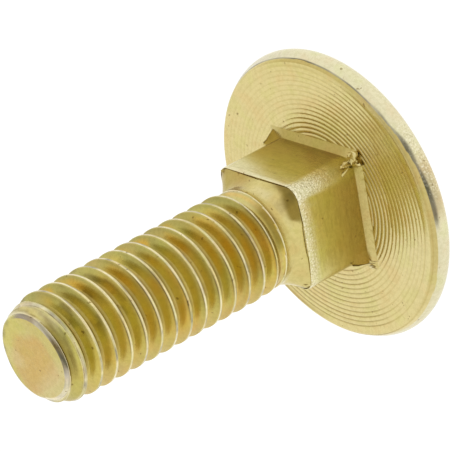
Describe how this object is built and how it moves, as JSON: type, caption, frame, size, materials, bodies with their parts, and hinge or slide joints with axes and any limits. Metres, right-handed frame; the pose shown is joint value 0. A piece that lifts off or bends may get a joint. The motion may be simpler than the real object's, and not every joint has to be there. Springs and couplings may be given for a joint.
{
  "type": "carriage bolt",
  "caption": "Mushroom-head bolt with a square neck under a wide domed head and a right-hand thread along its shank.",
  "frame": {"origin": "crown of the domed head, on the bolt's axis, with the bolt standing on its head", "axes": "+Z along the axis from the head to the tip, +X and +Y square to two flats of the neck"},
  "size_m": [0.0162, 0.0162, 0.0236],
  "materials": {
    "zinc_steel": "yellow passivated zinc plating, satin"
  },
  "bodies": {
    "root": {"carriage_bolt": "zinc_steel"}
  },
  "joints": []
}
